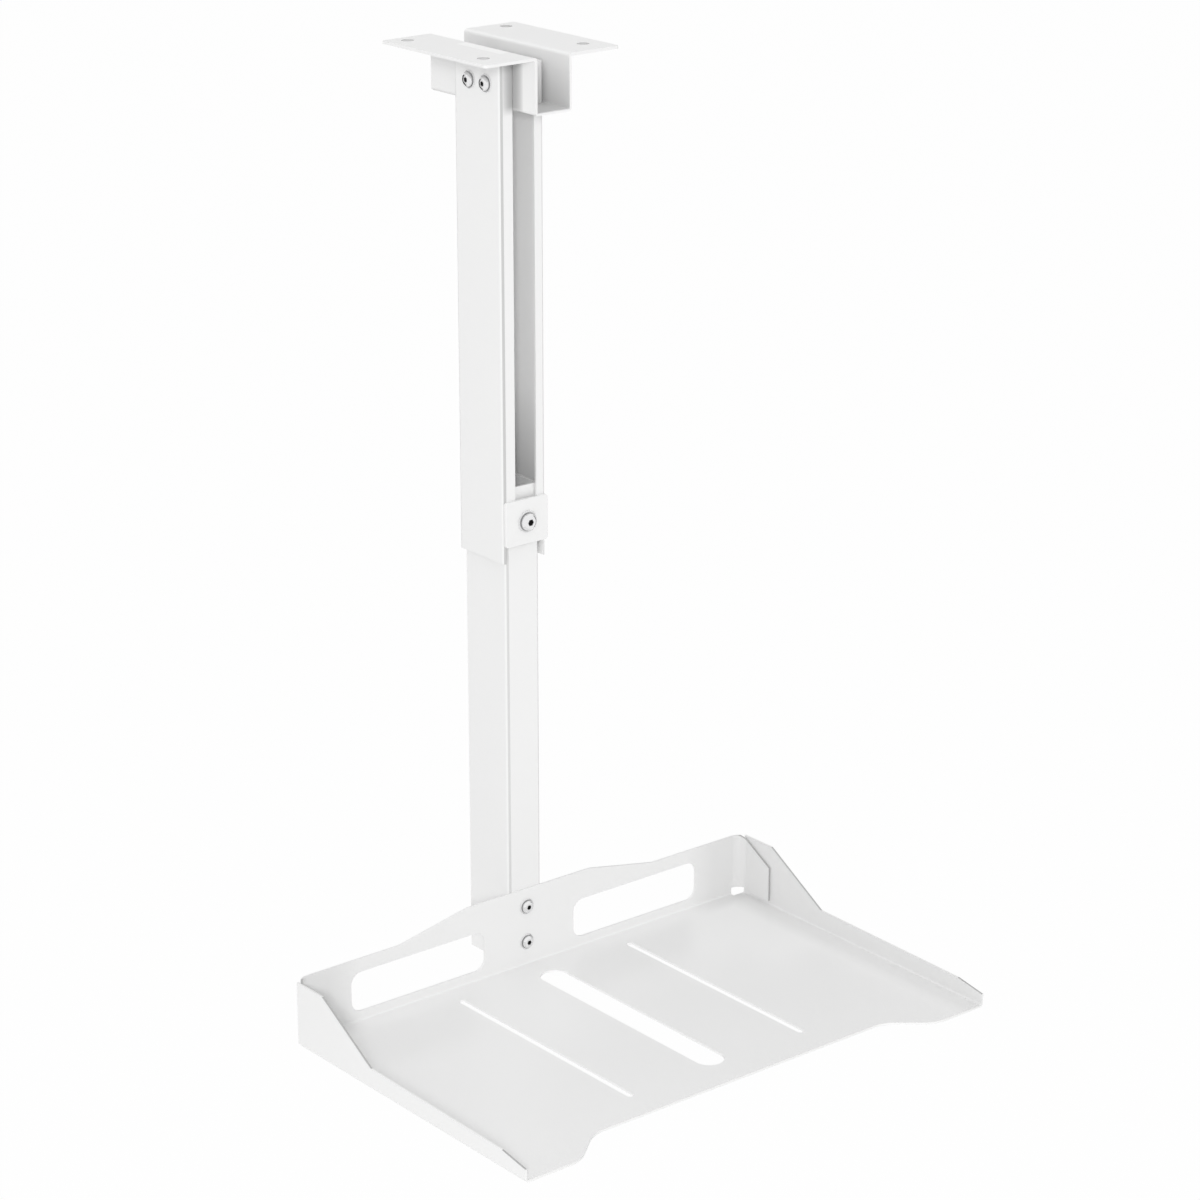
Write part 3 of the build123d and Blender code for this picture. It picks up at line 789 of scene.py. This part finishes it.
def row_of(nodes, axis, end):
    """First seat and pitch of a row of like nodes. Their seats lie on one end of an axis."""
    seats = []
    for node in nodes:
        low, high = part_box(node)
        seat = (low + high) / 2
        seat[axis] = (low, high)[end][axis]
        seats.append(seat)
    pitch = seats[1] - seats[0] if len(seats) > 1 else Vector((0.0, 0.0, 0.0))
    return seats[0], pitch


def width_of(node, axis):
    low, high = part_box(node)
    return high[axis] - low[axis]


TURN_LEFT = (0.0, math.radians(-90.0), 0.0)    # +Z of a pattern to -X
TURN_RIGHT = (0.0, math.radians(90.0), 0.0)    # +Z of a pattern to +X
TURN_FRONT = (math.radians(90.0), 0.0, 0.0)    # +Z of a pattern to -Y
TURN_BACK = (math.radians(-90.0), 0.0, 0.0)    # +Z of a pattern to +Y


class MOUNT_OT_ceiling_bracket(bpy.types.Operator):
    """Coat the folded ceiling bracket"""

    bl_idname = "mount.ceiling_bracket"
    bl_label = "Ceiling Bracket"

    def execute(self, context):
        coated_sheet(context, "ceiling_bracket", HANGER, hole_wall_shade)
        return {"FINISHED"}


class MOUNT_OT_poles(bpy.types.Operator):
    """Coat the outer and the inner pole"""

    bl_idname = "mount.poles"
    bl_label = "Poles"

    def execute(self, context):
        coat = context.scene.ceiling_mount.coat
        coated_sheet(context, "outer_pole", HANGER, front_bend_dark_reflection(coat.outer_bend_reflection))
        coated_sheet(context, "inner_pole", DROP, front_bend_dark_reflection(coat.inner_bend_reflection))
        return {"FINISHED"}


class MOUNT_OT_clamp_plate(bpy.types.Operator):
    """Coat the clamp plate"""

    bl_idname = "mount.clamp_plate"
    bl_label = "Clamp Plate"

    def execute(self, context):
        coated_sheet(context, "clamp_plate", HANGER)
        return {"FINISHED"}


class MOUNT_OT_tray(bpy.types.Operator):
    """Coat the folded tray"""

    bl_idname = "mount.tray"
    bl_label = "Tray"

    def execute(self, context):
        coated_sheet(context, "tray", DROP, sloping_cut_shade)
        return {"FINISHED"}


class MOUNT_OT_bracket_fasteners(bpy.types.Operator):
    """Set the bolts, sleeves, washers and nuts that hang the pole on the bracket"""

    bl_idname = "mount.bracket_fasteners"
    bl_label = "Bracket Fasteners"

    def execute(self, context):
        fasteners = context.scene.ceiling_mount.fasteners
        bolts = ("bracket_bolt_front", "bracket_bolt_rear")
        sleeves = ("bracket_sleeve_front", "bracket_sleeve_rear")
        washers = ("bracket_washer_front", "bracket_washer_rear")
        nuts = ("bracket_nut_front", "bracket_nut_rear")
        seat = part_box("outer_pole")[0].x
        low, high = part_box(bolts[0])
        start, pitch = row_of(bolts, 0, 0)
        start.x = seat
        screw = screw_mesh(fasteners, width_of(bolts[0], 1), seat - low.x, fasteners.bracket_thread,
                           high.x - seat, fasteners.bracket_key)
        set_row(context, "bracket_bolts", screw, HANGER, bolts, start, pitch, TURN_LEFT)
        bore = fasteners.bracket_thread + fasteners.hole_clearance
        for name, nodes in (("bracket_sleeves", sleeves), ("bracket_washers", washers)):
            start, pitch = row_of(nodes, 0, 0)
            ring = ring_mesh(fasteners, width_of(nodes[0], 1), bore, width_of(nodes[0], 0))
            set_row(context, name, ring, HANGER, nodes, start, pitch, TURN_RIGHT)
        start, pitch = row_of(nuts, 0, 0)
        nut = nut_mesh(fasteners, width_of(nuts[0], 1), fasteners.bracket_thread + fasteners.thread_clearance,
                       width_of(nuts[0], 0))
        set_row(context, "bracket_nuts", nut, HANGER, nuts, start, pitch, TURN_RIGHT)
        return {"FINISHED"}


class MOUNT_OT_clamp_screw(bpy.types.Operator):
    """Set the clamp screw in its plate"""

    bl_idname = "mount.clamp_screw"
    bl_label = "Clamp Screw"

    def execute(self, context):
        fasteners = context.scene.ceiling_mount.fasteners
        low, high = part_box("clamp_screw")
        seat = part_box("clamp_plate")[0].y
        start, pitch = row_of(("clamp_screw",), 1, 0)
        start.y = seat
        screw = screw_mesh(fasteners, width_of("clamp_screw", 0), seat - low.y, fasteners.clamp_thread,
                           high.y - seat, fasteners.clamp_key)
        set_row(context, "clamp_screw_turned", screw, CLAMP, ("clamp_screw",), start, pitch, TURN_FRONT)
        return {"FINISHED"}


class MOUNT_OT_tray_fasteners(bpy.types.Operator):
    """Set the screws, washers and nuts that hold the tray on the inner pole"""

    bl_idname = "mount.tray_fasteners"
    bl_label = "Tray Fasteners"

    def execute(self, context):
        fasteners = context.scene.ceiling_mount.fasteners
        screws = ("tray_screw_lower", "tray_screw_upper")
        washers = ("tray_washer_lower", "tray_washer_upper")
        nuts = ("tray_nut_lower", "tray_nut_upper")
        low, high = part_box(screws[0])
        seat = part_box("inner_pole")[0].y - TRAY_SHEET
        start, pitch = row_of(screws, 1, 0)
        start.y = seat
        screw = screw_mesh(fasteners, width_of(screws[0], 0), seat - low.y, fasteners.tray_thread,
                           high.y - seat, fasteners.tray_key)
        set_row(context, "tray_screws", screw, DROP, screws, start, pitch, TURN_FRONT)
        start, pitch = row_of(washers, 1, 0)
        ring = ring_mesh(fasteners, width_of(washers[0], 0), fasteners.tray_thread + fasteners.hole_clearance,
                         width_of(washers[0], 1))
        set_row(context, "tray_washers", ring, DROP, washers, start, pitch, TURN_BACK)
        start, pitch = row_of(nuts, 1, 0)
        nut = nut_mesh(fasteners, width_of(nuts[0], 0), fasteners.tray_thread + fasteners.thread_clearance,
                       width_of(nuts[0], 1))
        set_row(context, "tray_nuts", nut, DROP, nuts, start, pitch, TURN_BACK)
        return {"FINISHED"}


def plainly_seen(graph):
    """One for rays from the camera, from a reflection or through a clear body, else zero."""
    camera, glossy, clear = [graph.add("ShaderNodeLightPath", output=f"Is {ray} Ray")
                             for ray in ("Camera", "Glossy", "Transmission")]
    return camera.largest(glossy).largest(clear)


def white_room(studio):
    """World that lights the mount from all round, a little more from the left rear.

    To the camera and in reflections it is plain white.
    """
    world = bpy.data.worlds.new("white_room")
    world.use_nodes = True
    bpy.context.scene.world = world
    graph = Graph(world.node_tree)
    way = graph.add("ShaderNodeTexCoord", output="Generated")
    side = graph.add("ShaderNodeVectorMath", {"operation": "DOT_PRODUCT"}, {0: way, 1: LEFT_REAR}, "Value")
    lit = studio.ambient + studio.ambient * studio.lean * side
    strength = lit + (1.0 - lit) * plainly_seen(graph)
    light = graph.add("ShaderNodeBackground", {}, {"Color": WHITE, "Strength": strength})
    graph.add("ShaderNodeOutputWorld", {}, {"Surface": light})


def pale_floor(studio):
    """Floor far below the tray: white to the camera, with the mount's soft shadow left in it."""
    material, graph = new_material("pale_floor")
    plain = graph.add("ShaderNodeBsdfDiffuse", {}, {"Color": FLOOR_COLOUR})
    white = graph.add("ShaderNodeEmission", {}, {"Color": WHITE, "Strength": 1.0})
    shown = graph.add("ShaderNodeMixShader", {}, {0: FLOOR_WHITE * plainly_seen(graph), 1: plain, 2: white})
    graph.add("ShaderNodeOutputMaterial", {}, {"Surface": shown})
    level = cad_box[0].z - studio.floor_drop
    corners = [(x * FLOOR_REACH, y * FLOOR_REACH, level) for x, y in ((-1, -1), (1, -1), (1, 1), (-1, 1))]
    mesh = bpy.data.meshes.new("floor")
    mesh.from_pydata(corners, [], [(0, 1, 2, 3)])
    mesh.materials.append(material)
    link("floor", mesh)


def soft_light(name, power, size, place, target):
    """Square soft light that reflections leave out, so that level sheets don't flare white."""
    lamp = bpy.data.lights.new(name, "AREA")
    lamp.energy = power
    lamp.shape = "SQUARE"
    lamp.size = size
    light = bpy.data.objects.new(name, lamp)
    light.location = place
    light.rotation_mode = "QUATERNION"
    light.rotation_quaternion = (Vector(target) - Vector(place)).to_track_quat("-Z", "Y")
    light.visible_glossy = False
    bpy.context.scene.collection.objects.link(light)


def dark_screen():
    """Black curved screen behind the mount, shown only in reflections, so that metal keeps its outline."""
    material, graph = new_material("black_screen")
    black = graph.add("ShaderNodeEmission", {}, {"Color": BLACK, "Strength": 0.0})
    graph.add("ShaderNodeOutputMaterial", {}, {"Surface": black})
    middle = (cad_box[0] + cad_box[1]) / 2
    first, last = SCREEN_TURNS
    corners = []
    for i in range(SCREEN_STEPS + 1):
        turn = first + (last - first) * i / SCREEN_STEPS
        foot = middle + SCREEN_RADIUS * Vector((math.sin(turn), -math.cos(turn), 0.0))
        corners += [foot + Vector((0.0, 0.0, level)) for level in SCREEN_LEVELS]
    strips = [(2 * i, 2 * i + 2, 2 * i + 3, 2 * i + 1) for i in range(SCREEN_STEPS)]
    mesh = bpy.data.meshes.new("dark_screen")
    mesh.from_pydata(corners, [], strips)
    mesh.materials.append(material)
    screen = link("dark_screen", mesh)
    screen.visible_camera = False
    screen.visible_diffuse = False
    screen.visible_transmission = False
    screen.visible_shadow = False


class MOUNT_OT_stage(bpy.types.Operator):
    """Set the floor, the light and the camera"""

    bl_idname = "mount.stage"
    bl_label = "Stage"

    def execute(self, context):
        studio = context.scene.ceiling_mount.studio
        context.scene.view_settings.view_transform = "Standard"
        white_room(studio)
        pale_floor(studio)
        middle = (cad_box[0] + cad_box[1]) / 2
        soft_light("key", studio.key, studio.key_size, studio.key_place, middle)
        above = (middle.x, middle.y, studio.overhead_rise)
        soft_light("overhead", studio.overhead, studio.overhead_size, above, middle)
        dark_screen()
        turn, rise = studio.azimuth, studio.elevation
        back = Vector((math.sin(turn) * math.cos(rise), -math.cos(turn) * math.cos(rise), math.sin(rise)))
        lens = bpy.data.cameras.new("camera")
        lens.sensor_width = SENSOR_WIDTH
        lens.lens = studio.lens
        camera = bpy.data.objects.new("camera", lens)
        camera.location = studio.eye
        camera.rotation_mode = "QUATERNION"
        camera.rotation_quaternion = (-back).to_track_quat("-Z", "Y")
        context.scene.collection.objects.link(camera)
        context.scene.camera = camera
        return {"FINISHED"}


PIECE_OPERATORS = (
    MOUNT_OT_ceiling_bracket,
    MOUNT_OT_poles,
    MOUNT_OT_clamp_plate,
    MOUNT_OT_tray,
    MOUNT_OT_bracket_fasteners,
    MOUNT_OT_clamp_screw,
    MOUNT_OT_tray_fasteners,
    MOUNT_OT_stage,
)


class MOUNT_PT_panel(bpy.types.Panel):
    """Pieces and settings of the ceiling mount"""

    bl_idname = "MOUNT_PT_panel"
    bl_label = "Ceiling Mount"
    bl_space_type = "VIEW_3D"
    bl_region_type = "UI"
    bl_category = "Ceiling Mount"

    def draw(self, context):
        settings = context.scene.ceiling_mount
        for operator in PIECE_OPERATORS:
            self.layout.operator(operator.bl_idname)
        for group in (settings.coat, settings.plate, settings.fasteners, settings.studio):
            box = self.layout.box()
            for name in group.bl_rna.properties.keys():
                if name not in {"rna_type", "name"}:
                    box.prop(group, name)


CLASSES = (
    CoatSettings,
    PlateSettings,
    FastenerSettings,
    StudioSettings,
    MountSettings,
    *PIECE_OPERATORS,
    MOUNT_PT_panel,
)


def register():
    for cls in CLASSES:
        bpy.utils.register_class(cls)
    bpy.types.Scene.ceiling_mount = bpy.props.PointerProperty(type=MountSettings)


def unregister():
    del bpy.types.Scene.ceiling_mount
    for cls in reversed(CLASSES):
        bpy.utils.unregister_class(cls)


def main():
    register()
    for operator in PIECE_OPERATORS:
        group, name = operator.bl_idname.split(".")
        getattr(getattr(bpy.ops, group), name)()


if __name__ == "__main__":
    main()
